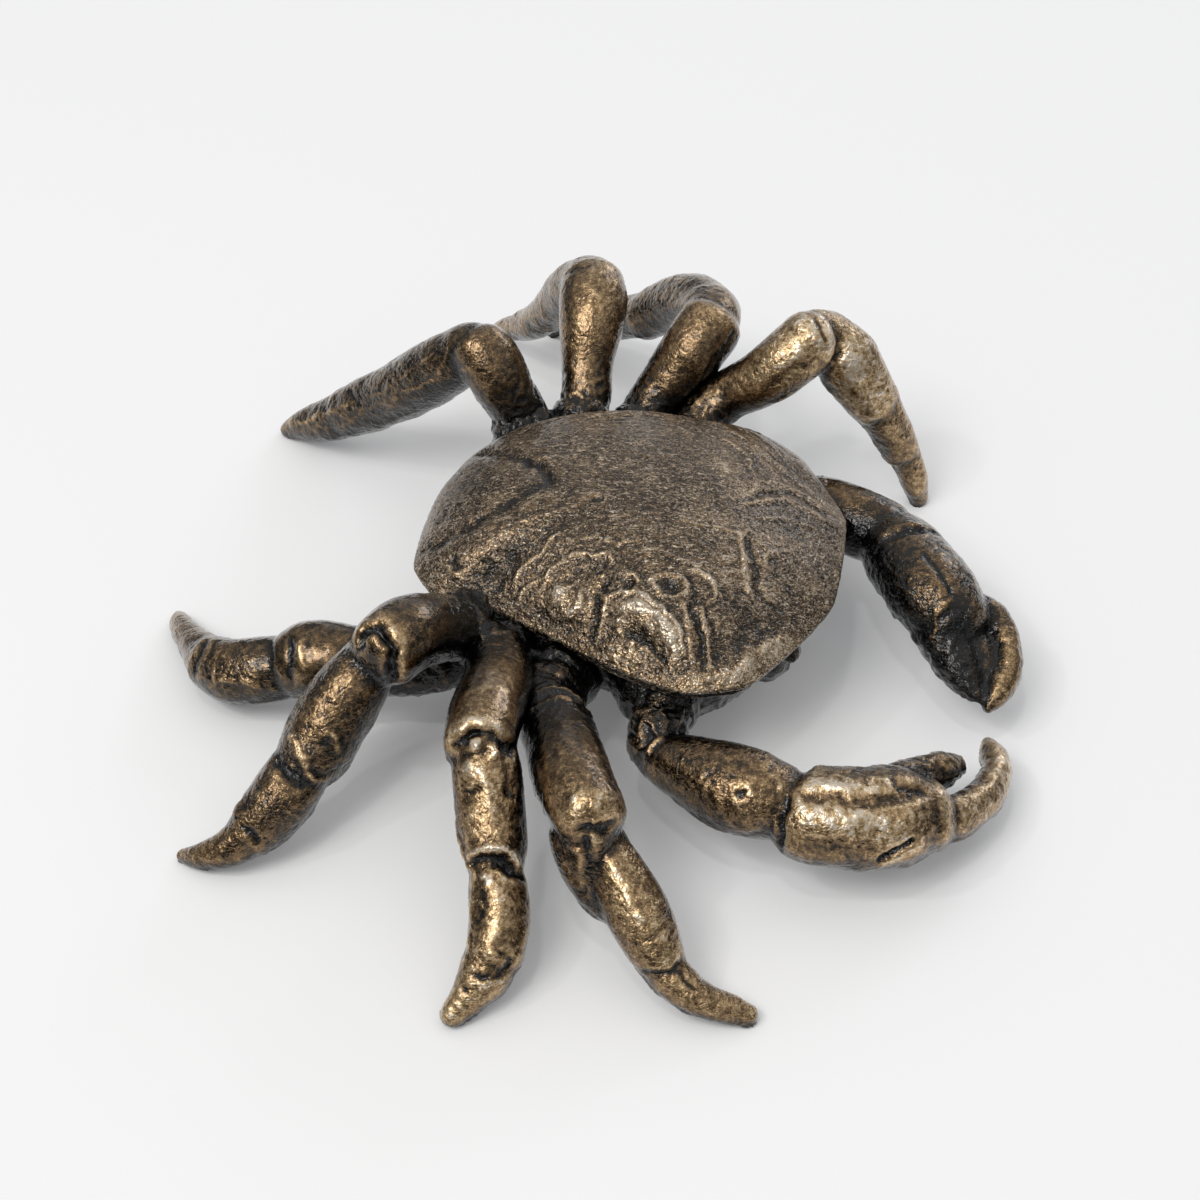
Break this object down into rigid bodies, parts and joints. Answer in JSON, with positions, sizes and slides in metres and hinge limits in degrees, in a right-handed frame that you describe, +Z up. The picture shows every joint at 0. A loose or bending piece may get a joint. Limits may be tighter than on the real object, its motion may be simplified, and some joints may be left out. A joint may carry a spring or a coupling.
{
  "type": "cast bronze crab figurine",
  "caption": "Life-size crab cast in bronze, standing on its leg tips with a domed carapace and two claws curved in front of it.",
  "frame": {"origin": "centre of the footprint's bounding box, on the surface that the leg tips rest on", "axes": "+X to the crab's left, -Y out of its front, +Z up"},
  "size_m": [0.1779, 0.1595, 0.0412],
  "materials": {
    "antique_bronze": "rough sand-cast skin, chemically darkened, waxed and rubbed back to bare metal on the high spots"
  },
  "bodies": {
    "root": {"body": "antique_bronze", "claw_left": "antique_bronze", "claw_right": "antique_bronze", "leg_left_1": "antique_bronze", "leg_left_2": "antique_bronze", "leg_left_3": "antique_bronze", "leg_left_4": "antique_bronze", "leg_right_1": "antique_bronze", "leg_right_2": "antique_bronze", "leg_right_3": "antique_bronze", "leg_right_4": "antique_bronze"}
  },
  "joints": []
}
